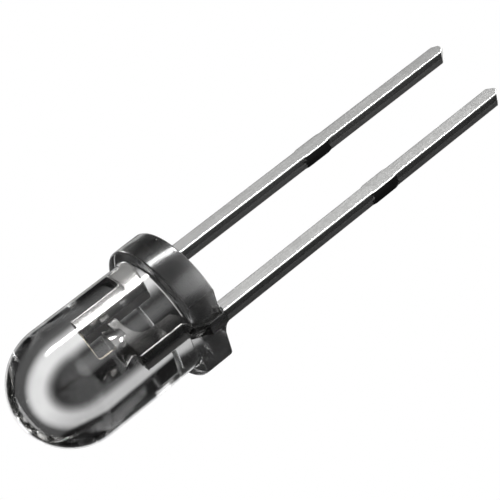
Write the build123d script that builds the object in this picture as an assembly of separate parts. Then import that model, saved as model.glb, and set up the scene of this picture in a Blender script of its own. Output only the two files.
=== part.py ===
from build123d import *
import os

# Miniature round lamp with two leads: a clear moulded epoxy body on a stamped lead frame.
# Millimetres. +Z is the optical axis, the origin is the centre of the seating face under the flange,
# and the two leads hang down along -Z. The cathode is on -X, the side of the flange's flat.

# ---------------------------------------------------------------------------- moulded body
lens_diameter = 3.18            # one eighth of an inch
flange_diameter = 3.81
flange_height = 0.85
body_height = 5.30              # seating face to the crown of the dome
flat_offset = 1.52              # optical axis to the flat that marks the cathode
flange_edge_radius = 0.05
lens_foot_radius = 0.05         # inside corner between lens and flange
meniscus_height = 0.18          # resin that creeps along each lead while it cures
meniscus_reach = 0.24           # how far that resin spreads from the lead's corner

# ---------------------------------------------------------------------------- leads
lead_pitch = 2.54
lead_side = 0.41                # square section: the sheet's thickness and the blanked width
cathode_length = 10.30          # seating face to the cropped tip
anode_length = 10.84            # the anode is left a little longer, which marks it as well
tip_height = 0.18               # cropping leaves a chisel point
cathode_tip_flat = 0.08
anode_tip_flat = 0.18
tie_bar_drop = 5.30             # seating face to the stub of the sheared tie bar
tie_bar_height = 0.95
tie_bar_stub = 0.03             # what the shear leaves standing on each side of a lead
tie_bar_ramp = 0.12

# ---------------------------------------------------------------------------- lead frame inside
knee_height = 0.36              # where both leads start to lean inward
frame_corner_radius = 0.06
cathode_post_outer = 0.80       # optical axis to the anvil's outer edge
cathode_post_inner = 0.32       # optical axis to the post's inner edge
cathode_shoulder_height = 0.86
anvil_top = 2.20
anvil_reach = 0.34              # how far the anvil's arm passes the optical axis
anvil_arm_depth = 0.30
anvil_arm_sweep = 0.44          # radius that carries the arm's underside into the post
anode_post_inner = 0.52         # optical axis to the post's near edge
anode_post_width = 0.24
anode_shoulder_width = 0.46
anode_shoulder_top = 1.18
anode_shoulder_bottom = 0.72
anode_post_top = 2.80

# ---------------------------------------------------------------------------- reflector cup
cup_rim_above_anvil = 0.28
cup_mouth_radius = 0.28
cup_floor_radius = 0.17
cup_depth = 0.26
cup_wall = 0.06
cup_foot_radius = 0.23
cup_foot_depth = 0.16           # the coined foot runs this far down below the anvil's top

# ---------------------------------------------------------------------------- chip and bond wire
adhesive_radius = 0.15
adhesive_thickness = 0.02
die_side = 0.20
die_height = 0.18
pad_radius = 0.045
pad_thickness = 0.008
wire_diameter = 0.028
ball_radius = 0.038
ball_height = 0.028
stitch_length = 0.10
stitch_width = 0.055
stitch_thickness = 0.010
wire_loop_rise = 0.52           # top of the loop above the ball
wire_loop_radius = 0.10

# ---------------------------------------------------------------------------- worked-out sizes
lens_radius = lens_diameter / 2
flange_radius = flange_diameter / 2
dome_centre_height = body_height - lens_radius
lead_x = lead_pitch / 2
lead_half = lead_side / 2
cup_rim_height = anvil_top + cup_rim_above_anvil
cup_floor_height = cup_rim_height - cup_depth
die_base_height = cup_floor_height + adhesive_thickness
die_top_height = die_base_height + die_height
pad_top_height = die_top_height + pad_thickness
ball_top_height = pad_top_height + ball_height
anode_post_x = anode_post_inner + anode_post_width / 2


def turned(outline):
    """Revolve a closed outline, drawn as radius and height, about the optical axis."""
    return revolve(Plane.XZ * make_face(outline), axis=Axis.Z)


def blanked(*outlines):
    """Blank closed x-z outlines out of the lead frame's sheet, centred on y = 0."""
    sheet = Sketch() + [Plane.XZ * make_face(outline) for outline in outlines]
    return extrude(sheet, amount=lead_half, both=True)


# ---------------------------------------------------------------------------- lead frame
def lead_shank(side, length, tip_flat):
    """Outline of the straight part of a lead, from its knee in the flange to its cropped tip."""
    stub_half = lead_half + tie_bar_stub
    ramp_top = -tie_bar_drop
    stub_top = ramp_top - tie_bar_ramp
    ramp_bottom = ramp_top - tie_bar_height
    stub_bottom = ramp_bottom + tie_bar_ramp
    right_edge = [
        (lead_half, knee_height),
        (lead_half, ramp_top),
        (stub_half, stub_top),
        (stub_half, stub_bottom),
        (lead_half, ramp_bottom),
        (lead_half, tip_height - length),
        (tip_flat / 2, -length),
    ]
    left_edge = [(-x, z) for x, z in reversed(right_edge)]
    points = [(side * lead_x + x, z) for x, z in right_edge + left_edge]
    return Polyline(*points, close=True)


def cathode_frame_outline():
    """Outline of the cathode inside the body: a post that leans inward and carries the anvil."""
    outer = -lead_x - lead_half
    inner = -lead_x + lead_half
    corner = frame_corner_radius
    outline = [
        ((outer, knee_height - lead_side), corner),
        ((outer, knee_height), corner),
        ((-cathode_post_outer, cathode_shoulder_height), corner),
        ((-cathode_post_outer, anvil_top), corner),
        ((anvil_reach, anvil_top), corner),
        ((anvil_reach, anvil_top - anvil_arm_depth), corner),
        ((-cathode_post_inner, anvil_top - anvil_arm_depth), anvil_arm_sweep),
        ((-cathode_post_inner, cathode_shoulder_height), corner),
        ((inner, knee_height), corner),
        ((inner, knee_height - lead_side), corner),
    ]
    points, radii = zip(*outline)
    return FilletPolyline(*points, radius=list(radii), close=True)


def anode_frame_outline():
    """Outline of the anode inside the body: a broad shoulder with a narrow post for the wire."""
    outer = lead_x + lead_half
    inner = lead_x - lead_half
    shoulder_outer = anode_post_inner + anode_shoulder_width
    return FilletPolyline(
        (outer, knee_height - lead_side),
        (outer, knee_height),
        (shoulder_outer, anode_shoulder_bottom),
        (shoulder_outer, anode_shoulder_top),
        (anode_post_inner + anode_post_width, anode_shoulder_top),
        (anode_post_inner + anode_post_width, anode_post_top),
        (anode_post_inner, anode_post_top),
        (anode_post_inner, anode_shoulder_bottom),
        (inner, knee_height),
        (inner, knee_height - lead_side),
        radius=frame_corner_radius,
        close=True,
    )


def reflector_cup():
    """Solid of the coined cup, with the cone that is hollowed out of it."""
    rim_radius = cup_mouth_radius + cup_wall
    foot_height = anvil_top - cup_foot_depth
    outside = turned(
        Polyline(
            (0, foot_height),
            (cup_foot_radius, foot_height),
            (rim_radius, cup_rim_height),
            (0, cup_rim_height),
            close=True,
        )
    )
    hollow = turned(
        Polyline(
            (0, cup_floor_height),
            (cup_floor_radius, cup_floor_height),
            (cup_mouth_radius, cup_rim_height),
            (0, cup_rim_height),
            close=True,
        )
    )
    return outside, hollow


def cathode_lead():
    """Lead on the flat's side, in one piece with the anvil and its reflector cup."""
    cup, hollow = reflector_cup()
    shank = lead_shank(-1, cathode_length, cathode_tip_flat)
    return blanked(shank, cathode_frame_outline()) + cup - hollow


def anode_lead():
    """Lead on the round side, in one piece with the post that takes the bond wire."""
    return blanked(lead_shank(1, anode_length, anode_tip_flat), anode_frame_outline())


# ---------------------------------------------------------------------------- chip and wire
def disc(radius, base, height):
    """Short cylinder on the optical axis, standing on the given height."""
    return Pos(0, 0, base) * Cylinder(radius, height, align=(Align.CENTER, Align.CENTER, Align.MIN))


def led_die():
    """Square chip that gives the light, on its adhesive at the bottom of the cup."""
    return Pos(0, 0, die_base_height) * Box(
        die_side, die_side, die_height, align=(Align.CENTER, Align.CENTER, Align.MIN)
    )


def bond_wire():
    """Gold wire from the ball on the chip's pad, over its loop, to the stitch on the anode post."""
    wire_radius = wire_diameter / 2
    loop_top = ball_top_height + wire_loop_rise
    stitch_height = anode_post_top + wire_radius
    path = FilletPolyline(
        (0, 0, pad_top_height + ball_height / 2),
        (0, 0, loop_top),
        (anode_post_x - wire_loop_radius, 0, loop_top - wire_loop_radius),
        (anode_post_x, 0, stitch_height),
        radius=wire_loop_radius,
    )
    wire = sweep(Plane(path @ 0, z_dir=path % 0) * Circle(wire_radius), path=path)
    ball = disc(ball_radius, pad_top_height, ball_height)
    stitch = Pos(anode_post_x, 0, anode_post_top) * Box(
        stitch_length, stitch_width, stitch_thickness + wire_radius,
        align=(Align.CENTER, Align.CENTER, Align.MIN),
    )
    return wire + ball + stitch


# ---------------------------------------------------------------------------- moulded body
def body_blank():
    """Flange, barrel and dome turned as one outline, before the flat and the inserts."""
    sides = FilletPolyline(
        (0, 0),
        (flange_radius, 0),
        (flange_radius, flange_height),
        (lens_radius, flange_height),
        (lens_radius, dome_centre_height),
        radius=[flange_edge_radius, flange_edge_radius, lens_foot_radius],
    )
    dome = CenterArc((0, dome_centre_height), lens_radius, 0, 90)
    axis = Line((0, body_height), (0, 0))
    return turned(sides + dome + axis)


def flat_cutter():
    """Block that cuts the cathode's flat off the flange."""
    depth = flange_radius
    return Pos(-flat_offset - depth / 2, 0, flange_height / 2) * Box(
        depth, flange_diameter, flange_height + 2 * meniscus_height
    )


def meniscus(side):
    """Hollow-sided cone of resin round a lead, just under the seating face."""
    corner = lead_half * 2 ** 0.5
    outline = [
        Line((0, 0), (corner + meniscus_reach, 0)),
        RadiusArc((corner + meniscus_reach, 0), (corner, -meniscus_height), -meniscus_reach),
        Line((corner, -meniscus_height), (0, -meniscus_height)),
        Line((0, -meniscus_height), (0, 0)),
    ]
    cone = turned(Curve() + outline)
    return Pos(side * lead_x, 0, 0) * cone


def epoxy_body(inserts):
    """The whole moulding, cast round the inserts so that it meets each of them face to face."""
    moulding = body_blank()
    rim = Pos(0, 0, -meniscus_height) * Cylinder(
        flange_radius - flange_edge_radius, meniscus_height,
        align=(Align.CENTER, Align.CENTER, Align.MIN),
    )
    for side in (-1, 1):
        moulding += meniscus(side) & rim
    moulding -= flat_cutter()
    for insert in inserts:
        moulding -= insert
    return moulding


def main():
    nodes = {
        "cathode_lead": cathode_lead(),
        "anode_lead": anode_lead(),
        "die_adhesive": disc(adhesive_radius, cup_floor_height, adhesive_thickness),
        "led_die": led_die(),
        "bond_pad": disc(pad_radius, die_top_height, pad_thickness),
        "bond_wire": bond_wire(),
    }
    nodes["epoxy_body"] = epoxy_body(list(nodes.values()))

    os.makedirs("parts", exist_ok=True)
    for name, solid in nodes.items():
        export_step(solid, f"parts/{name}.step")
        print(f"{name}: {len(solid.solids())} solid, {solid.volume:.4f} mm3")


main()
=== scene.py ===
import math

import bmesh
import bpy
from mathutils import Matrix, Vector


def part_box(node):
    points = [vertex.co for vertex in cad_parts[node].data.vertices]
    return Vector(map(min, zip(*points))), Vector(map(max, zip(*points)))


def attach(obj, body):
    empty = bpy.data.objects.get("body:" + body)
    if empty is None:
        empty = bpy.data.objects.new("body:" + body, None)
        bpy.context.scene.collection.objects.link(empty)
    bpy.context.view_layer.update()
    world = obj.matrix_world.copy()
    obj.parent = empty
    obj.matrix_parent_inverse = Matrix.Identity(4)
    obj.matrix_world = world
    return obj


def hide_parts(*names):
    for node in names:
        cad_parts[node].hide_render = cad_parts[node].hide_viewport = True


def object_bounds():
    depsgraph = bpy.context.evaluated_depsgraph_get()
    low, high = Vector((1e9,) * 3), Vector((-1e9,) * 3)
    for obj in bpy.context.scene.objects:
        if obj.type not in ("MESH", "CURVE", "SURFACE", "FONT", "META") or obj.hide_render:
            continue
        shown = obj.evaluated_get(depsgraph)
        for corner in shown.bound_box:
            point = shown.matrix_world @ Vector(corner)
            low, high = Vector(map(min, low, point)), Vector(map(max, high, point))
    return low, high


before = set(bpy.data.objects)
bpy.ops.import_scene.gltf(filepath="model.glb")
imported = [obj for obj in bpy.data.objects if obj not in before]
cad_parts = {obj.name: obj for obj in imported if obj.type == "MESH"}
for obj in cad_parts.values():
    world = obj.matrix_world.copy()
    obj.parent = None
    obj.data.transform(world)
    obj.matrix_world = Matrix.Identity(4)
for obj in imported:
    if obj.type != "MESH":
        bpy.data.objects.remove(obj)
cad_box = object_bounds()

# %% [markdown]
# # A miniature lamp with two leads
# The lamp is a block of clear resin cast round a stamped metal frame. The resin is lens, barrel and
# flange in one. The frame is two leads: the cathode ends in an anvil with a coined cup that holds the
# chip, and the anode ends in a post that takes the bond wire.
#
# The CAD model already gives the outer sizes. So this lesson asks it for them first, adds the few sizes
# in between, and models each piece in metres where it belongs. Nothing has to be fitted later.

MM = 0.001
WELD = 0.0005 * MM

body_low, body_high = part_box("epoxy_body")
cathode_low, cathode_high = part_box("cathode_lead")
anode_low, anode_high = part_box("anode_lead")
print("resin, low and high corner in mm:", body_low / MM, body_high / MM)
print("cathode:", cathode_low / MM, cathode_high / MM)
print("anode:", anode_low / MM, anode_high / MM)

# %% [markdown]
# ## Where the camera stands
# The lamp is upright in its own frame, with the leads hanging down. The camera looks down on it a
# little, from between the flat's side and the front, and it is rolled so far that the dome points to
# the lower left. A camera could be placed by hand and turned by Euler angles, but then the roll is hard
# to read. Here three directions settle it: towards the camera, across the lamp, and up along it. The
# roll turns the last two about the first. The lens is long, because the camera stands well away from
# so small a thing.

# %% Camera
view_azimuth = math.radians(43.88)
view_elevation = math.radians(23.16)
view_roll = math.radians(-128.1)
view_distance = 46 * MM
aim_height = -2.65 * MM
aim_across = -0.139 * MM
aim_upward = 0.429 * MM

to_camera = Vector((
    -math.cos(view_elevation) * math.sin(view_azimuth),
    -math.cos(view_elevation) * math.cos(view_azimuth),
    math.sin(view_elevation),
))
across = Vector((0, 0, 1)).cross(to_camera).normalized()
upward = to_camera.cross(across)
aim = Vector((0, 0, aim_height)) + aim_across * across + aim_upward * upward

camera_x = math.cos(view_roll) * across + math.sin(view_roll) * upward
camera_y = math.cos(view_roll) * upward - math.sin(view_roll) * across
turn = Matrix((camera_x, camera_y, to_camera)).transposed().to_4x4()

camera_data = bpy.data.cameras.new("studio_camera")
camera_data.sensor_width = 36
camera_data.lens = 129
camera_data.clip_start = 1 * MM
camera_data.clip_end = 10
camera = bpy.data.objects.new("studio_camera", camera_data)
camera.matrix_world = Matrix.Translation(aim + view_distance * to_camera) @ turn
bpy.context.scene.collection.objects.link(camera)
bpy.context.scene.camera = camera
print("camera at", camera.location / MM, "mm")

# %% [markdown]
# ## Helpers for modelling by hand, in code
# An operator works on whatever is selected, and the CAD nodes come in selected. So each step first
# deselects everything, then picks its faces, edges or points by their place or normal. That is what a
# hand does with the mouse, but it gives the same result on every run.

# %% Start clean, and go into edit mode
def start_fresh():
    """Leave edit mode and deselect everything, so that the next operator acts on nothing else."""
    if bpy.context.object and bpy.context.object.mode != "OBJECT":
        bpy.ops.object.mode_set(mode="OBJECT")
    bpy.ops.object.select_all(action="DESELECT")


def make_active(piece):
    """Select one piece alone and make it the active one."""
    start_fresh()
    piece.select_set(True)
    bpy.context.view_layer.objects.active = piece


def begin_edit(piece):
    """Go into edit mode on one piece with nothing selected."""
    make_active(piece)
    bpy.ops.object.mode_set(mode="EDIT")
    bpy.ops.mesh.select_all(action="DESELECT")


# %% Pick faces, edges and points
def pick(piece, kind, test):
    """Select the faces, edges or points that pass a test, and nothing else."""
    bpy.ops.mesh.select_mode(type=kind)
    bpy.ops.mesh.select_all(action="DESELECT")
    mesh = bmesh.from_edit_mesh(piece.data)
    for part in {"FACE": mesh.faces, "EDGE": mesh.edges, "VERT": mesh.verts}[kind]:
        part.select_set(test(part))
    mesh.select_flush(True)
    bmesh.update_edit_mesh(piece.data)


def ring_at(height, radius):
    """A test for the edges of one ring round the axis, by its height and its radius."""
    def on_ring(edge):
        return all(
            abs(v.co.z - height) < 4 * WELD and abs(v.co.xy.length - radius) < 4 * WELD
            for v in edge.verts
        )
    return on_ring


# %% Extrude, scale and round
def extrude(shift):
    """Extrude what is selected, and move the new part."""
    bpy.ops.mesh.extrude_region_move(TRANSFORM_OT_translate={"value": shift})


def widen(ratio, centre):
    """Scale what is selected in x and y about a point."""
    bpy.ops.transform.resize(value=(ratio, ratio, 1), center_override=centre)


def round_edges(piece, test, width, segments, clamp=False):
    """Bevel the edges that pass a test."""
    begin_edit(piece)
    pick(piece, "EDGE", test)
    bpy.ops.mesh.bevel(offset=width, segments=segments, affect="EDGES", clamp_overlap=clamp)
    bpy.ops.object.mode_set(mode="OBJECT")


# %% Close a mesh, and use modifiers
def close_mesh():
    """Weld what lies on the same point, turn every face outwards and leave edit mode."""
    bpy.ops.mesh.select_all(action="SELECT")
    bpy.ops.mesh.remove_doubles(threshold=WELD)
    bpy.ops.mesh.normals_make_consistent(inside=False)
    bpy.ops.object.mode_set(mode="OBJECT")


def apply_modifier(piece, modifier):
    """Apply one modifier, as its Apply button does."""
    make_active(piece)
    bpy.ops.object.modifier_apply(modifier=modifier.name)


def combine(piece, tool, operation):
    """Join a tool piece to a piece, or cut it away, and remove the tool."""
    modifier = piece.modifiers.new(operation.lower(), "BOOLEAN")
    modifier.operation = operation
    modifier.solver = "EXACT"
    modifier.object = tool
    apply_modifier(piece, modifier)
    bpy.data.objects.remove(tool, do_unlink=True)


def soften(piece, width, segments):
    """Round the sharp edges by a small width."""
    bevel = piece.modifiers.new("edge_round", "BEVEL")
    bevel.width = width
    bevel.segments = segments
    bevel.limit_method = "ANGLE"
    bevel.angle_limit = math.radians(30)
    bevel.use_clamp_overlap = True
    apply_modifier(piece, bevel)


# %% Hand a finished piece over
def hand_over(piece, node):
    """Shade a piece smooth but for real edges, and let it stand for its CAD node."""
    make_active(piece)
    bpy.ops.object.shade_smooth_by_angle(angle=math.radians(40))
    weighted = piece.modifiers.new("flat_faces_first", "WEIGHTED_NORMAL")
    weighted.keep_sharp = True
    apply_modifier(piece, weighted)
    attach(piece, "root")
    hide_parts(node)
    print(piece.name, "has", len(piece.data.polygons), "faces")


# %% [markdown]
# ## The resin: dome, barrel and flange
# The real body is one casting. Clear epoxy is poured into a polished cup, the frame is dipped in, and
# the cured block is pulled out, so the dome, the barrel and the flange share one unbroken skin. A
# turned profile swept by Spin would do. This lesson starts from a sphere instead, because its rings are
# already the lens: the lower half is cut off, and the open ring is extruded down the barrel, out into
# the flange's top face and down its rim. The last ring is filled for the underside.

# %% Dome
lens_radius = -body_low.x
flange_radius = body_high.x
flange_height = 0.85 * MM
dome_height = body_high.z - lens_radius

start_fresh()
bpy.ops.mesh.primitive_uv_sphere_add(
    segments=192, ring_count=96, radius=lens_radius, location=(0, 0, dome_height)
)
resin = bpy.context.object
resin.name = "resin_body"
bpy.ops.object.transform_apply(location=True)
begin_edit(resin)
bpy.ops.mesh.select_all(action="SELECT")
bpy.ops.mesh.bisect(
    plane_co=(0, 0, dome_height), plane_no=(0, 0, 1), clear_inner=True, threshold=WELD
)
print("lens radius", lens_radius / MM, "mm, dome starts at", dome_height / MM, "mm")

# %% Barrel and flange
pick(resin, "EDGE", ring_at(dome_height, lens_radius))
extrude((0, 0, flange_height - dome_height))
extrude((0, 0, 0))
widen(flange_radius / lens_radius, (0, 0, flange_height))
extrude((0, 0, -flange_height))
bpy.ops.mesh.edge_face_add()
close_mesh()
print("flange", 2 * flange_radius / MM, "mm across and", flange_height / MM, "mm high")

# %% [markdown]
# ### Rounded rings
# No casting leaves its mould with knife edges. Three rings get a small round: the foot of the barrel,
# where the polished cup turns into the flange, and both rims of the flange. These rounds are narrow,
# but each one catches a thin bright line of light, and without them the flange looks like a drawing of
# a flange.

# %% Round the three rings
edge_radius = 0.05 * MM
for height, radius in ((flange_height, lens_radius), (flange_height, flange_radius), (0, flange_radius)):
    round_edges(resin, ring_at(height, radius), edge_radius, 4)
print("resin blank:", len(resin.data.polygons), "faces")

# %% [markdown]
# ### Collars round the leads
# The underside of the casting is the open face of the pour. While it cures, the liquid creeps a little
# way along each lead and stays there as a hollow-sided collar. It is a quarter circle turned round the
# lead, so a circle is extruded down in ten steps and drawn in at each. The two collars are joined on
# before the flat is made, because in the real mould the flat cuts through everything.

# %% Collars
lead_half = 0.205 * MM
lead_x = 1.27 * MM
collar_height = -body_low.z
collar_reach = 0.24 * MM
collar_foot = lead_half * math.sqrt(2)
collar_sink = 0.03 * MM
collar_steps = 10


def draw_up(centre_x, stops):
    """A closed round piece, drawn from a circle through a list of heights and radii."""
    start_fresh()
    height, radius = stops[0]
    bpy.ops.mesh.primitive_circle_add(
        vertices=96, radius=radius, fill_type="NGON", location=(centre_x, 0, height)
    )
    piece = bpy.context.object
    bpy.ops.object.transform_apply(location=True)
    begin_edit(piece)
    bpy.ops.mesh.select_all(action="SELECT")
    for new_height, new_radius in stops[1:]:
        extrude((0, 0, new_height - height))
        widen(new_radius / radius, (centre_x, 0, new_height))
        height, radius = new_height, new_radius
    close_mesh()
    return piece


collar_stops = [(collar_sink, collar_foot + collar_reach)]
for step in range(collar_steps + 1):
    angle = math.pi / 2 * step / collar_steps
    collar_stops.append((
        -(collar_height - collar_sink) * (1 - math.cos(angle)),
        collar_foot + collar_reach * (1 - math.sin(angle)),
    ))
collar_stops.append((-collar_height, lead_half * 1.02))
for side in (-1, 1):
    combine(resin, draw_up(side * lead_x, collar_stops), "UNION")
print("collars reach", collar_height / MM, "mm below the flange")

# %% [markdown]
# ### The flat
# The flange is flat on one side, to show which lead is the cathode. On the real lamp it is part of the
# mould, so it is clean and has a fine rounded border. A block cuts it here, a little above the flange's
# top so that the cut runs out cleanly, and then the border is found by its place and bevelled.

# %% Flat
flat_offset = 1.52 * MM
flat_top = flange_height + 0.18 * MM
block = Vector((1, 6, 2)) * MM          # the cutter: deep, wide and high enough to clear the rim

start_fresh()
bpy.ops.mesh.primitive_cube_add(size=1, location=(-flat_offset - block.x / 2, 0, flat_top - block.z / 2))
cutter = bpy.context.object
cutter.scale = block
bpy.ops.object.transform_apply(location=True, scale=True)
combine(resin, cutter, "DIFFERENCE")


def on_flat(edge):
    """A test for the flat's own edges."""
    return all(abs(v.co.x + flat_offset) < 4 * WELD for v in edge.verts)


round_edges(resin, on_flat, edge_radius, 4, clamp=True)
hand_over(resin, "epoxy_body")

# %% [markdown]
# ## Blanking a lead out of sheet
# The leads are punched from one strip of plated steel, 0.41 mm thick, with a dozen lamps side by side.
# Between the lamps run tie bars, and when these are cropped each lead keeps two small stubs. So a lead
# is a flat outline with one thickness, and it is drawn the way the punch cuts it: point by point round
# the outline, its corners rounded one by one, then filled and extruded through the sheet.

# %% Outline of the part below the resin
knee = 0.36 * MM
tie_bar_top = -5.30 * MM
tie_bar_height = 0.95 * MM
tie_bar_stub = 0.03 * MM
tie_bar_ramp = 0.12 * MM
tip_height = 0.18 * MM


def shank_edge(x, side, tip, tip_flat):
    """Points down one edge of a lead, from its knee past the tie-bar stub to its cropped tip."""
    widths = [
        (lead_half, tie_bar_top),
        (lead_half + tie_bar_stub, tie_bar_top - tie_bar_ramp),
        (lead_half + tie_bar_stub, tie_bar_top - tie_bar_height + tie_bar_ramp),
        (lead_half, tie_bar_top - tie_bar_height),
        (lead_half, tip + tip_height),
        (tip_flat / 2, tip),
    ]
    return [(x + side * width, height) for width, height in widths]


# %% Blank
def blank(name, outline, rounded):
    """Draw an x-z outline point by point, round the chosen corners and give it the sheet's thickness."""
    start_fresh()
    last_x, last_z = outline[0]
    bpy.ops.mesh.primitive_plane_add(size=0.1 * MM, location=(last_x, -lead_half, last_z))
    piece = bpy.context.object
    piece.name = name
    bpy.ops.object.transform_apply(location=True)
    begin_edit(piece)
    bpy.ops.mesh.select_mode(type="VERT")
    bpy.ops.mesh.select_all(action="SELECT")
    bpy.ops.mesh.merge(type="CENTER")
    for x, z in outline[1:]:
        bpy.ops.mesh.extrude_vertices_move(
            TRANSFORM_OT_translate={"value": (x - last_x, 0, z - last_z)}
        )
        last_x, last_z = x, z
    bpy.ops.mesh.select_all(action="SELECT")
    bpy.ops.mesh.edge_face_add()
    for x, z, reach, segments in rounded:
        place = Vector((x, -lead_half, z))
        pick(piece, "VERT", lambda vert: (vert.co - place).length < 4 * WELD)
        bpy.ops.mesh.bevel(offset=reach, segments=segments, affect="VERTICES", clamp_overlap=False)
    bpy.ops.mesh.select_mode(type="FACE")
    bpy.ops.mesh.select_all(action="SELECT")
    extrude((0, 2 * lead_half, 0))
    close_mesh()
    return piece


# %% [markdown]
# ### Cathode lead and its anvil
# Inside the resin the cathode swings in towards the middle and widens into the anvil, a heavy block
# that carries the heat away from the chip. Its arm reaches over to the optical axis in one long sweep,
# which keeps the punch from cracking. Tumbling after the punch takes the edge off the sheet, so the
# whole blank gets a small round, and that round is what draws the bright line down each lead.

# %% Cathode blank
sheet_edge = 0.08 * MM
frame_corner = 0.036 * MM
cathode_post_outer = 0.80 * MM
cathode_post_inner = 0.32 * MM
cathode_shoulder = 0.86 * MM
anvil_top = 2.20 * MM
anvil_reach = 0.34 * MM
anvil_arm_bottom = anvil_top - 0.30 * MM
anvil_arm_sweep = 0.44 * MM
cathode_tip_flat = 0.08 * MM

cathode_frame = [
    (-lead_x + lead_half, knee),
    (-cathode_post_inner, cathode_shoulder),
    (-cathode_post_inner, anvil_arm_bottom),
    (anvil_reach, anvil_arm_bottom),
    (anvil_reach, anvil_top),
    (-cathode_post_outer, anvil_top),
    (-cathode_post_outer, cathode_shoulder),
    (-lead_x - lead_half, knee),
]
cathode_corners = [(x, z, frame_corner, 4) for x, z in cathode_frame]
cathode_corners[2] = (*cathode_frame[2], anvil_arm_sweep, 16)
cathode = blank(
    "cathode_leadframe",
    shank_edge(-lead_x, 1, cathode_low.z, cathode_tip_flat)[::-1]
    + cathode_frame
    + shank_edge(-lead_x, -1, cathode_low.z, cathode_tip_flat),
    cathode_corners,
)
soften(cathode, sheet_edge, 3)
print("cathode blank:", len(cathode.data.polygons), "faces")

# %% [markdown]
# ### Reflector cup
# A coining punch presses the cup into the top of the anvil, and the metal flows up round it as a thin
# conical wall. The chip shines into that wall, and the wall throws the light up into the dome. Outside
# and inside are two cones on the optical axis: one is joined to the anvil and the other is cut out.
# The rim is then rounded on both sides, as flowed metal is.

# %% Cup
cup_rim = 2.48 * MM
cup_floor = cup_rim - 0.26 * MM
cup_mouth = 0.28 * MM
cup_outer = 0.34 * MM
cup_outside = draw_up(0, [(anvil_top - 0.16 * MM, 0.23 * MM), (cup_rim, cup_outer)])
cup_hollow = draw_up(0, [
    (cup_floor, 0.15 * MM),
    (cup_floor + 0.005 * MM, 0.165 * MM),
    (cup_floor + 0.02 * MM, 0.178 * MM),
    (cup_rim, cup_mouth),
    (cup_rim + 0.1 * MM, 0.30 * MM),
])
combine(cathode, cup_outside, "UNION")
combine(cathode, cup_hollow, "DIFFERENCE")
for radius in (cup_mouth, cup_outer):
    round_edges(cathode, ring_at(cup_rim, radius), 0.018 * MM, 3)
hand_over(cathode, "cathode_lead")

# %% [markdown]
# ### Anode lead and its post
# The anode is the longer lead. It ends in a slim post beside the cup, a little higher than the rim, so
# that the bond wire can come down on its top. The shoulder below it is an anchor: it stops the lead
# from being pulled out of the resin when the lamp is soldered and the lead is bent.

# %% Anode blank
anode_inner = 0.52 * MM
anode_post_outer = anode_inner + 0.24 * MM
anode_shoulder_outer = anode_inner + 0.46 * MM
anode_shoulder_top = 1.18 * MM
anode_shoulder_bottom = 0.72 * MM
anode_tip_flat = 0.18 * MM

anode_frame = [
    (lead_x + lead_half, knee),
    (anode_shoulder_outer, anode_shoulder_bottom),
    (anode_shoulder_outer, anode_shoulder_top),
    (anode_post_outer, anode_shoulder_top),
    (anode_post_outer, anode_high.z),
    (anode_inner, anode_high.z),
    (anode_inner, anode_shoulder_bottom),
    (lead_x - lead_half, knee),
]
anode = blank(
    "anode_leadframe",
    shank_edge(lead_x, 1, anode_low.z, anode_tip_flat)[::-1]
    + anode_frame
    + shank_edge(lead_x, -1, anode_low.z, anode_tip_flat),
    [(x, z, frame_corner, 4) for x, z in anode_frame],
)
soften(anode, sheet_edge, 3)
hand_over(anode, "anode_lead")

# %% [markdown]
# ## Glue under the chip
# A drop of silver-filled epoxy holds the chip on the cup's floor and carries its current. Under the
# chip's weight the drop spreads and climbs a little way up the chip's sides. A low mound is drawn up
# round the axis, and a Displace modifier with a cloud pattern makes its outline uneven, because no two
# drops are alike.

# %% Glue
glue_low, glue_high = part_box("die_adhesive")
glue_radius = glue_high.x
glue = draw_up(0, [
    (glue_low.z, glue_radius),
    (glue_low.z + 0.008 * MM, glue_radius * 1.01),
    (glue_low.z + 0.018 * MM, glue_radius * 0.97),
    (glue_low.z + 0.030 * MM, glue_radius * 0.88),
    (glue_low.z + 0.040 * MM, glue_radius * 0.74),
])
glue.name = "die_glue"
cloud = bpy.data.textures.new("glue_cloud", "CLOUDS")
cloud.noise_scale = 0.07 * MM
wobble = glue.modifiers.new("uneven_drop", "DISPLACE")
wobble.texture = cloud
wobble.texture_coords = "LOCAL"
wobble.strength = 0.014 * MM
apply_modifier(glue, wobble)
hand_over(glue, "die_adhesive")

# %% [markdown]
# ## Chip
# The chip is a sawn cube of crystal, a fifth of a millimetre on a side. Its top is etched back at the
# edges into a low mesa, which keeps the saw's damage away from the part that glows. So the block stops
# short of its full height, and the top face is extruded once more and drawn in. The sawn corners get a
# hair of a bevel.

# %% Chip
chip_low, chip_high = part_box("led_die")
chip_size = chip_high - chip_low
mesa = 0.025 * MM
mesa_ratio = 0.80

start_fresh()
bpy.ops.mesh.primitive_cube_add(size=1, location=(0, 0, (chip_low.z + chip_high.z - mesa) / 2))
chip = bpy.context.object
chip.name = "chip"
chip.scale = (chip_size.x, chip_size.y, chip_size.z - mesa)
bpy.ops.object.transform_apply(location=True, scale=True)
begin_edit(chip)
pick(chip, "FACE", lambda face: face.normal.z > 0.9)
bpy.ops.mesh.inset(thickness=0.006 * MM, depth=0)
extrude((0, 0, mesa))
widen(mesa_ratio, (0, 0, chip_high.z))
close_mesh()
soften(chip, 0.004 * MM, 2)
hand_over(chip, "led_die")

# %% [markdown]
# ## Contact pad
# The pad is a dot of gold on the mesa, just wide enough for the ball of the wire. It is drawn up in
# three steps, with its edge sloping in, since the metal is evaporated through a mask.

# %% Contact pad
pad_low, pad_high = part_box("bond_pad")
pad_radius = pad_high.x
chip_pad = draw_up(0, [
    (pad_low.z, pad_radius),
    (pad_low.z + 0.6 * (pad_high.z - pad_low.z), pad_radius),
    (pad_high.z, pad_radius * 0.93),
])
chip_pad.name = "chip_pad"
hand_over(chip_pad, "bond_pad")

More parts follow.
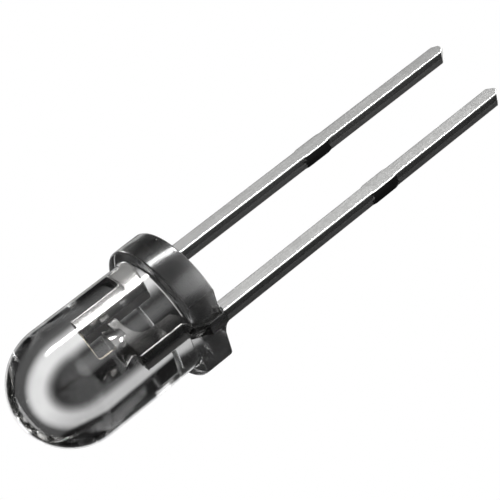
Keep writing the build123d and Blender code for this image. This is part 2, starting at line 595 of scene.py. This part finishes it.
# %% [markdown]
# ## Bond wire
# A gold wire thinner than a hair joins the chip to the anode post. The bonding machine melts its end
# into a ball, presses that on the pad, pulls the wire up into a loop, and stitches it flat on the
# post's top. All that is one piece of wire, so it is one curve here: its points carry their own
# radius, wide in the ball and even along the loop. It is drawn in millimetres and scaled down once it
# is a mesh, because a curve's tube is rounded off badly at a hundredth of a millimetre. The stitch is
# then squashed in edit mode.

# %% Bond wire
wire_low, wire_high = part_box("bond_wire")
wire_radius = 0.014
post_x = (anode_inner + anode_post_outer) / 2 / MM
ball_z = wire_low.z / MM
loop_z = wire_high.z / MM - wire_radius
post_z = anode_high.z / MM
wire_stops = [
    (0, ball_z, 1.9),
    (0, ball_z + 0.004, 2.7),
    (0, ball_z + 0.022, 2.7),
    (0, ball_z + 0.030, 1.2),
    (0, ball_z + 0.050, 1),
    (0, loop_z - 0.22, 1),
    (0.005, loop_z - 0.05, 1),
    (0.06, loop_z - 0.012, 1),
    (0.20, loop_z - 0.045, 1),
    (post_x - 0.16, loop_z - 0.10, 1),
    (post_x - 0.07, loop_z - 0.145, 1),
    (post_x - 0.04, post_z + 0.012, 1.2),
    (post_x + 0.05, post_z + 0.004, 1.5),
]
wire_curve = bpy.data.curves.new("bond_wire_loop", "CURVE")
wire_curve.dimensions = "3D"
wire_curve.bevel_depth = wire_radius
wire_curve.bevel_resolution = 4
wire_curve.resolution_u = 8
wire_curve.use_fill_caps = True
spline = wire_curve.splines.new("NURBS")
spline.points.add(len(wire_stops) - 1)
for point, (x, z, fatness) in zip(spline.points, wire_stops):
    point.co = (x, 0, z, 1)
    point.radius = fatness
spline.order_u = 3
spline.use_endpoint_u = True
wire = bpy.data.objects.new("bond_wire_loop", wire_curve)
bpy.context.scene.collection.objects.link(wire)

make_active(wire)
bpy.ops.object.convert(target="MESH")
wire = bpy.context.object
wire.scale = (MM, MM, MM)
bpy.ops.object.transform_apply(scale=True)
begin_edit(wire)
pick(wire, "VERT", lambda vert: vert.co.x > (post_x - 0.045) * MM)
bpy.ops.transform.resize(value=(1, 1.1, 0.35), center_override=(post_x * MM, 0, post_z * MM))
close_mesh()
hand_over(wire, "bond_wire")

# %% [markdown]
# ## Materials: what they share
# Seen this close, no surface of the lamp is one flat value. Plating has a grain, drawn sheet has
# streaks along it, a sheared side is rougher than the sheet's face, and dust settles everywhere. Most
# of these serve more than one material, so each becomes a node group with named inputs, made once.
# The groups only put out masks and values. The shaders stay in the materials, where the export can
# read them. All patterns read Object coordinates, scaled to millimetres.

# %% Helpers for nodes
def feed(tree, socket, value):
    """Set a socket to a value, or link it to another socket."""
    if isinstance(value, bpy.types.NodeSocket):
        tree.links.new(value, socket)
    else:
        socket.default_value = value


def number(tree, operation, first, second=0.0):
    """A Math node on two values."""
    node = tree.nodes.new("ShaderNodeMath")
    node.operation = operation
    feed(tree, node.inputs[0], first)
    feed(tree, node.inputs[1], second)
    return node.outputs[0]


def plus_share(tree, base, mask, amount):
    """The base, and so much more where the mask is 1."""
    return number(tree, "ADD", base, number(tree, "MULTIPLY", mask, amount))


def ramp(tree, value, start, end, low=0.0, high=1.0):
    """A smooth rise from low to high while the value goes from start to end."""
    node = tree.nodes.new("ShaderNodeMapRange")
    node.interpolation_type = "SMOOTHSTEP"
    given = {"Value": value, "From Min": start, "From Max": end, "To Min": low, "To Max": high}
    for label, amount in given.items():
        feed(tree, node.inputs[label], amount)
    return node.outputs["Result"]


def blend_colours(tree, mask, first, second):
    """The first colour where the mask is 0, the second where it is 1; a colour may be a socket."""
    node = tree.nodes.new("ShaderNodeMix")
    node.data_type = "RGBA"
    feed(tree, node.inputs[0], mask)
    for socket, colour in ((node.inputs[6], first), (node.inputs[7], second)):
        feed(tree, socket, colour if isinstance(colour, bpy.types.NodeSocket) else (*colour, 1))
    return node.outputs[2]


def millimetres(tree, stretch=(1, 1, 1)):
    """Object coordinates in millimetres; a small stretch draws a pattern out along that axis."""
    place = tree.nodes.new("ShaderNodeTexCoord")
    mapping = tree.nodes.new("ShaderNodeMapping")
    mapping.inputs["Scale"].default_value = [factor / MM for factor in stretch]
    tree.links.new(place.outputs["Object"], mapping.inputs["Vector"])
    return mapping.outputs["Vector"]


def axes(tree, vector):
    """The X, Y and Z of a vector, each by itself."""
    node = tree.nodes.new("ShaderNodeSeparateXYZ")
    feed(tree, node.inputs[0], vector)
    return node.outputs


def facing_axes(tree):
    """The X, Y and Z of the way the surface faces."""
    return axes(tree, tree.nodes.new("ShaderNodeTexCoord").outputs["Normal"])


# %% Helpers for groups
def new_group(name, settings, results):
    """An empty group with named number inputs and outputs; gives its tree, its input and its output."""
    group = bpy.data.node_groups.new(name, "ShaderNodeTree")
    for label, value in settings.items():
        socket = group.interface.new_socket(label, in_out="INPUT", socket_type="NodeSocketFloat")
        socket.default_value = value
    for label in results:
        group.interface.new_socket(label, in_out="OUTPUT", socket_type="NodeSocketFloat")
    return group, group.nodes.new("NodeGroupInput").outputs, group.nodes.new("NodeGroupOutput").inputs


def place_group(tree, group, settings):
    """Put a group in a material with that material's own values; gives its outputs."""
    node = tree.nodes.new("ShaderNodeGroup")
    node.node_tree = group
    for label, value in settings.items():
        feed(tree, node.inputs[label], value)
    return node.outputs


# %% [markdown]
# ### Grain and drawn streaks
# Both are noise. Grain is even in all directions, like plating crystals or the bloom on cured resin.
# Streaks are the same noise drawn out along the lead, as the rolls and the punch leave them. One
# function builds both groups. Value runs between the two limits that a material gives, and Height is
# for a Bump node.

# %% Grain groups
def noise_group(name, stretch, detail):
    """A group of noise with its size in millimetres and the limits of what it puts out."""
    tree, asked, given = new_group(name, {"Size": 0.05, "Low": 0.0, "High": 1.0}, ["Value", "Height"])
    noise = tree.nodes.new("ShaderNodeTexNoise")
    noise.inputs["Detail"].default_value = detail
    noise.inputs["Roughness"].default_value = 0.6
    feed(tree, noise.inputs["Vector"], millimetres(tree, stretch))
    feed(tree, noise.inputs["Scale"], number(tree, "DIVIDE", 1.0, asked["Size"]))
    feed(tree, given["Value"], ramp(tree, noise.outputs["Fac"], 0.32, 0.68, asked["Low"], asked["High"]))
    feed(tree, given["Height"], noise.outputs["Fac"])
    return tree


fine_grain = noise_group("fine_grain", (1, 1, 1), 3)
drawn_streaks = noise_group("drawn_streaks", (1, 1, 0.03), 2)
print("groups:", fine_grain.name, drawn_streaks.name)

# %% [markdown]
# ### Sheared sides and bare stubs
# The punch leaves two kinds of metal. The sheet's faces are bright, and the sheared sides, which face
# along x here, are duller and rougher, all the more in the half where the metal tore. The stubs of the
# tie bars are cropped after plating, so their sides are bare steel and nearly black. Neither needs a
# painted map: the normal tells a sheared side, and the height along the lead tells a stub. The coined
# cup was never sheared, so the space round it is left out.

# %% Group for sheared sides
cup_space = {"Cup From": 1.9, "Cup Reach": 0.42}
sheared_sides, asked, given = new_group("sheared_sides", cup_space, ["Side", "Torn"])
normal = facing_axes(sheared_sides)
spot = axes(sheared_sides, millimetres(sheared_sides))
facing = ramp(sheared_sides, number(sheared_sides, "ABSOLUTE", normal["X"]), 0.82, 0.94)
below_cup = number(sheared_sides, "LESS_THAN", spot["Z"], asked["Cup From"])
distance = number(sheared_sides, "ABSOLUTE", spot["X"])
beside_cup = number(sheared_sides, "GREATER_THAN", distance, asked["Cup Reach"])
sheet = number(sheared_sides, "MAXIMUM", below_cup, beside_cup)
side = number(sheared_sides, "MULTIPLY", facing, sheet)
torn_half = ramp(sheared_sides, spot["Y"], -0.02, 0.03)
feed(sheared_sides, given["Side"], side)
feed(sheared_sides, given["Torn"], number(sheared_sides, "MULTIPLY", side, torn_half))
print("sheared sides: mask from the normal, torn half beyond y = 0")

# %% Group for bare stubs
stub_ends = {"Bottom": -6.24, "Top": -5.32}
bare_stubs, asked, given = new_group("bare_stubs", stub_ends, ["Mask"])
ragged = place_group(bare_stubs, fine_grain, {"Size": 0.09, "Low": -0.06, "High": 0.06})["Value"]
height = number(bare_stubs, "ADD", axes(bare_stubs, millimetres(bare_stubs))["Z"], ragged)
above = ramp(bare_stubs, number(bare_stubs, "SUBTRACT", height, asked["Bottom"]), -0.02, 0.02)
under = ramp(bare_stubs, number(bare_stubs, "SUBTRACT", asked["Top"], height), -0.02, 0.02)
feed(bare_stubs, given["Mask"], number(bare_stubs, "MULTIPLY", above, under))
print("bare stubs between", stub_ends["Bottom"], "and", stub_ends["Top"], "mm")

# %% [markdown]
# ### Settled specks
# Dust and fingertip marks show on polished resin and on plating as a few tiny dull spots. Scattered
# cells give them: a spot is where the distance to a cell's middle is small.

# %% Group for specks
settled_specks, asked, given = new_group("settled_specks", {"Spacing": 0.5, "Share": 0.1}, ["Mask"])
cells = settled_specks.nodes.new("ShaderNodeTexVoronoi")
feed(settled_specks, cells.inputs["Vector"], millimetres(settled_specks))
feed(settled_specks, cells.inputs["Scale"], number(settled_specks, "DIVIDE", 1.0, asked["Spacing"]))
half_share = number(settled_specks, "MULTIPLY", asked["Share"], 0.5)
spot_edge = number(settled_specks, "SUBTRACT", asked["Share"], cells.outputs["Distance"])
feed(settled_specks, given["Mask"], ramp(settled_specks, spot_edge, 0.0, half_share))
print("specks: one in each cell")

# %% Helpers for materials
def new_material(name):
    """A material with its Principled BSDF; gives the material, its node tree and the shader's inputs."""
    material = bpy.data.materials.new(name)
    material.use_nodes = True
    tree = material.node_tree
    return material, tree, tree.nodes["Principled BSDF"].inputs


def raise_surface(tree, shader, height, strength, distance):
    """Feed a height through a Bump node; the distance is how deep the relief is."""
    bump = tree.nodes.new("ShaderNodeBump")
    bump.inputs["Strength"].default_value = strength
    bump.inputs["Distance"].default_value = distance
    feed(tree, bump.inputs["Height"], height)
    feed(tree, shader["Normal"], bump.outputs["Normal"])


# %% [markdown]
# ## Clear resin
# The resin is a tinted casting epoxy: smoky in the hand, clear enough to show the frame. A tint can be
# set as volume absorption, but the depth would then have to fit this one size, so the tint is the base
# colour of a transmitting surface. It varies slowly, as the tint settles unevenly. Polished mould steel
# gives the lens its gloss, with a fine bloom that blurs it a little, and a few specks of dust. Only the
# lens needs that polish, so the flange and the poured underside are left duller.

# %% Resin
clear_resin, tree, shader = new_material("clear_resin")
shader["Transmission Weight"].default_value = 1
shader["IOR"].default_value = 1.53
tint = place_group(tree, fine_grain, {"Size": 1.4})["Value"]
feed(tree, shader["Base Color"], blend_colours(tree, tint, (0.47, 0.47, 0.47), (0.53, 0.53, 0.53)))
bloom = place_group(tree, fine_grain, {"Size": 0.035, "High": 0.07})
dust = place_group(tree, settled_specks, {"Spacing": 0.62, "Share": 0.05})["Mask"]
height = axes(tree, millimetres(tree))["Z"]
duller_flange = ramp(tree, height, 0.90, 0.80, 0.0, 0.14)
rough = plus_share(tree, bloom["Value"], dust, 0.2)
feed(tree, shader["Roughness"], number(tree, "ADD", rough, duller_flange))
raise_surface(tree, shader, bloom["Height"], 0.25, 0.0009 * MM)
resin.data.materials.append(clear_resin)
print("resin tint about 0.5, IOR 1.53")

# %% [markdown]
# ## Plated frame
# The whole frame is plated bright: tin below the resin, where it will be soldered, and silver above,
# where it reflects the chip's light. Both are smooth metals that differ only in how bright and how
# clean they are, so one material carries both and changes over with height, just inside the flange.
# Streaks run along the sheet's faces, the sheared sides are duller, and the stubs are bare.

# %% Plated frame: masks
plated_frame, tree, shader = new_material("plated_frame")
shader["Metallic"].default_value = 1
streaks = place_group(tree, drawn_streaks, {"Size": 0.05})
crystals = place_group(tree, fine_grain, {"Size": 0.022})
clouds = place_group(tree, fine_grain, {"Size": 1.1})["Value"]
sides = place_group(tree, sheared_sides, cup_space)
stubs = place_group(tree, bare_stubs, stub_ends)["Mask"]
specks = place_group(tree, settled_specks, {"Spacing": 0.4, "Share": 0.09})["Mask"]
silver_from = 0.2
silver_full = 0.5
height = axes(tree, millimetres(tree))["Z"]
silvered = ramp(tree, height, silver_from, silver_full)
bare = number(tree, "MULTIPLY", sides["Side"], stubs)
print("frame masks: streaks, crystals, clouds, sides, stubs, specks, silver from", silver_from, "mm up")

# %% Plated frame: colour
colour = blend_colours(tree, streaks["Value"], (0.84, 0.84, 0.83), (0.74, 0.74, 0.73))
colour = blend_colours(tree, number(tree, "MULTIPLY", clouds, 0.5), colour, (0.66, 0.66, 0.65))
colour = blend_colours(tree, silvered, colour, (0.90, 0.89, 0.87))
colour = blend_colours(tree, number(tree, "MULTIPLY", sides["Side"], 0.6), colour, (0.34, 0.34, 0.34))
colour = blend_colours(tree, number(tree, "MULTIPLY", specks, 0.6), colour, (0.30, 0.30, 0.30))
colour = blend_colours(tree, bare, colour, (0.06, 0.06, 0.06))
feed(tree, shader["Base Color"], colour)
print("frame colours: tin, silver and bare steel")

# %% Plated frame: roughness and relief
rough = ramp(tree, height, silver_from, silver_full, 0.10, 0.06)
for mask, amount in ((crystals["Value"], 0.09), (sides["Side"], 0.08), (sides["Torn"], 0.14), (bare, 0.20)):
    rough = plus_share(tree, rough, mask, amount)
feed(tree, shader["Roughness"], rough)

relief = plus_share(tree, crystals["Height"], streaks["Height"], 0.6)
relief = number(tree, "MULTIPLY", relief, plus_share(tree, 1.0, sides["Torn"], 1.5))
raise_surface(tree, shader, relief, 0.5, 0.0012 * MM)
for piece in (cathode, anode):
    piece.data.materials.append(plated_frame)
print("frame: tin below, silver above", silver_full, "mm")

# %% [markdown]
# ## Silver glue
# The glue is grey epoxy full of silver flakes. Each flake is a tiny mirror and the epoxy between them
# is dull, so the grain drives the metallic value and the roughness in opposite directions.

# %% Silver glue
silver_glue, tree, shader = new_material("silver_glue")
flakes = place_group(tree, fine_grain, {"Size": 0.012})
feed(tree, shader["Base Color"], blend_colours(tree, flakes["Value"], (0.30, 0.30, 0.29), (0.72, 0.72, 0.71)))
feed(tree, shader["Metallic"], ramp(tree, flakes["Value"], 0.3, 0.7, 0.2, 0.95))
feed(tree, shader["Roughness"], ramp(tree, flakes["Value"], 0.2, 0.9, 0.62, 0.30))
raise_surface(tree, shader, flakes["Height"], 0.8, 0.002 * MM)
glue.data.materials.append(silver_glue)
print("glue: flakes of 0.012 mm")

# %% [markdown]
# ## Chip crystal
# The crystal is dark and takes a high polish on top. The saw leaves its sides matt with fine upright
# lines, so the sides are picked out by the normal and get more roughness and some relief.

# %% Chip crystal
crystal, tree, shader = new_material("chip_crystal")
shader["IOR"].default_value = 3.2
sawn = ramp(tree, facing_axes(tree)["Z"], 0.75, 0.45)
saw_lines = place_group(tree, drawn_streaks, {"Size": 0.008})
mottle = place_group(tree, fine_grain, {"Size": 0.03})["Value"]
colour = blend_colours(tree, mottle, (0.06, 0.06, 0.06), (0.10, 0.10, 0.10))
colour = blend_colours(tree, number(tree, "MULTIPLY", sawn, saw_lines["Value"]), colour, (0.17, 0.17, 0.17))
feed(tree, shader["Base Color"], colour)
rough = plus_share(tree, 0.06, mottle, 0.06)
feed(tree, shader["Roughness"], plus_share(tree, rough, sawn, 0.30))
raise_surface(tree, shader, number(tree, "MULTIPLY", sawn, saw_lines["Height"]), 0.7, 0.001 * MM)
chip.data.materials.append(crystal)
print("chip: polished top, sawn sides")

# %% [markdown]
# ## Gold
# Gold keeps its shine for ever, so all that shows is how it was worked: the evaporated pad is finely
# grained, and the drawn wire has the faint marks of its die. One material serves both.

# %% Gold
gold, tree, shader = new_material("wire_gold")
shader["Metallic"].default_value = 1
marks = place_group(tree, fine_grain, {"Size": 0.009})
feed(tree, shader["Base Color"], blend_colours(tree, marks["Value"], (0.90, 0.82, 0.64), (0.96, 0.89, 0.74)))
feed(tree, shader["Roughness"], plus_share(tree, 0.14, marks["Value"], 0.16))
raise_surface(tree, shader, marks["Height"], 0.4, 0.0006 * MM)
for piece in (chip_pad, wire):
    piece.data.materials.append(gold)
print("gold on the pad and the wire")

# %% [markdown]
# ## Floor
# The lamp is held by its leads, as in a board, so the pale floor is a small round table a little below
# their tips. The camera, the metal and the resin all see it as plain white paper, and the share that is
# left takes the lamp's soft shadow. It is small on purpose: what lies beyond it is what draws the shape
# of clear resin.

# %% Floor
floor_height = cad_box[0][2] - 16 * MM
floor_radius = 13 * MM
white_share = 0.85

start_fresh()
bpy.ops.mesh.primitive_circle_add(
    vertices=128, radius=floor_radius, fill_type="NGON", location=(0, 0, floor_height)
)
floor = bpy.context.object
floor.name = "floor"

paper, tree, shader = new_material("paper")
shader["Roughness"].default_value = 1
fibres = place_group(tree, fine_grain, {"Size": 0.6})["Value"]
feed(tree, shader["Base Color"], blend_colours(tree, fibres, (0.80, 0.80, 0.80), (0.84, 0.84, 0.84)))
glow = tree.nodes.new("ShaderNodeEmission")
path = tree.nodes.new("ShaderNodeLightPath")
seen = number(tree, "MAXIMUM", path.outputs["Is Camera Ray"], path.outputs["Is Glossy Ray"])
seen = number(tree, "MAXIMUM", seen, path.outputs["Is Transmission Ray"])
mix = tree.nodes.new("ShaderNodeMixShader")
feed(tree, mix.inputs["Fac"], number(tree, "MULTIPLY", seen, white_share))
feed(tree, mix.inputs[1], tree.nodes["Principled BSDF"].outputs[0])
feed(tree, mix.inputs[2], glow.outputs[0])
feed(tree, tree.nodes["Material Output"].inputs["Surface"], mix.outputs[0])
floor.data.materials.append(paper)
print("floor at", floor_height / MM, "mm")

# %% [markdown]
# ## A studio for clear resin
# Clear resin has no colour of its own to light. It bends and mirrors what stands round it, so the
# studio draws it. Glass is usually set in a dark field: a dark card hangs between it and the white
# backdrop, and the backdrop shows only round the card's edge. The resin then has a dark middle with a
# bright band round it. A lamp behind the backdrop makes the opening half as bright again. In front
# there are a broad dim panel for the metal, a small card beside the camera for the flange's middle,
# another on the flat's side for the edges there, and a tall narrow lamp that puts one stripe on the
# flange and the barrel.
#
# Area lamps would do, but their hard borders show as chips of light in the dome. Soft patches in the
# world have no border. Each is placed by its heading from the lamp, in degrees round from +X and up.

# %% World and its directions
world = bpy.data.worlds.new("studio")
bpy.context.scene.world = world
world.use_nodes = True
sky = world.node_tree
sky_place = sky.nodes.new("ShaderNodeTexCoord").outputs["Generated"]


def heading(azimuth, elevation):
    """The direction at so many degrees round from +X and up."""
    around, up = math.radians(azimuth), math.radians(elevation)
    return Vector((math.cos(up) * math.cos(around), math.cos(up) * math.sin(around), math.sin(up)))


def along(direction):
    """How far the looked-at direction lies along another: 1 where they agree."""
    node = sky.nodes.new("ShaderNodeVectorMath")
    node.operation = "DOT_PRODUCT"
    feed(sky, node.inputs[0], sky_place)
    node.inputs[1].default_value = direction
    return node.outputs["Value"]


# %% Shapes of light
def soft_card(azimuth, elevation, inner, outer, strength):
    """A round card: full to the inner angle, gone at the outer one."""
    return ramp(
        sky, along(heading(azimuth, elevation)),
        math.cos(math.radians(outer)), math.cos(math.radians(inner)), 0.0, strength,
    )


def opening(azimuth):
    """How much of the backdrop the cards leave open: a ring, weaker to one side, with a faint halo."""
    share = soft_card(azimuth, -23, 25, 38, 1.0)
    halo = soft_card(azimuth, -38, 40, 62, 0.11)
    weak_side = soft_card(azimuth - 43, -20, 12, 45, 0.45)
    share = number(sky, "MULTIPLY", share, number(sky, "SUBTRACT", 1.0, weak_side))
    share = number(sky, "ADD", share, halo)
    dark_middle = soft_card(azimuth, -22, 11, 21, 1.0)
    dark_side = soft_card(azimuth - 69, -20, 34, 39, 1.0)
    for dark_card in (dark_middle, dark_side):
        share = number(sky, "MULTIPLY", share, number(sky, "SUBTRACT", 1.0, dark_card))
    return share


def tall_lamp(azimuth, elevation, half_width, strength, softness=3):
    """A narrow upright lamp: a round card cut down to a band with soft sides."""
    beside = number(sky, "ABSOLUTE", along(heading(azimuth + 90, 0)))
    dark_from = math.sin(math.radians(half_width + softness))
    full_from = math.sin(math.radians(half_width - softness))
    band = ramp(sky, beside, dark_from, full_from, 0.0, strength)
    return number(sky, "MULTIPLY", band, soft_card(azimuth, elevation, 18, 34, 1.0))


# %% Hang the studio
front_panel = soft_card(-90, -10, 40, 60, 0.5)
camera_card = soft_card(-126, -23, 3, 21, 2.5)
flat_side_card = soft_card(155, -23, 5, 14, 0.6)
stripe_lamp = tall_lamp(-64, -20, 3.2, 36)
dim_room = 0.02
backdrop_lamp = 0.5

backdrop_share = opening(43)
studio_light = number(sky, "MULTIPLY", backdrop_share, backdrop_lamp)
for part in (front_panel, camera_card, flat_side_card, stripe_lamp, dim_room):
    studio_light = number(sky, "ADD", studio_light, part)
print("studio hung with", len(sky.nodes), "nodes")

# %% [markdown]
# ### Who sees the white backdrop
# The camera sees it everywhere, at a strength of 1, which is white. Metal and resin see it as well, but
# only through the opening between the cards. Matt surfaces get an even share, just enough to show a
# colour about as bright as it is written. Light Path tells these rays apart.

# %% White backdrop
matt_share = 0.4

rays = sky.nodes.new("ShaderNodeLightPath").outputs
polished = number(sky, "MAXIMUM", rays["Is Glossy Ray"], rays["Is Transmission Ray"])
seen = number(sky, "MULTIPLY", polished, backdrop_share)
even_share = number(sky, "MULTIPLY", rays["Is Diffuse Ray"], matt_share)
studio_light = number(sky, "ADD", studio_light, number(sky, "ADD", seen, even_share))
shown = sky.nodes.new("ShaderNodeMix")
feed(sky, shown.inputs["Factor"], rays["Is Camera Ray"])
feed(sky, shown.inputs[2], studio_light)
feed(sky, shown.inputs[3], 1.0)
background = sky.nodes["Background"]
background.inputs["Color"].default_value = (1, 1, 1, 1)
feed(sky, background.inputs["Strength"], shown.outputs[0])
print("backdrop: white to the camera; to metal and resin through the opening; to matt surfaces", matt_share)

# %% [markdown]
# ## Colours as they are
# The Standard view shows a colour as it is written.

bpy.context.scene.view_settings.view_transform = "Standard"
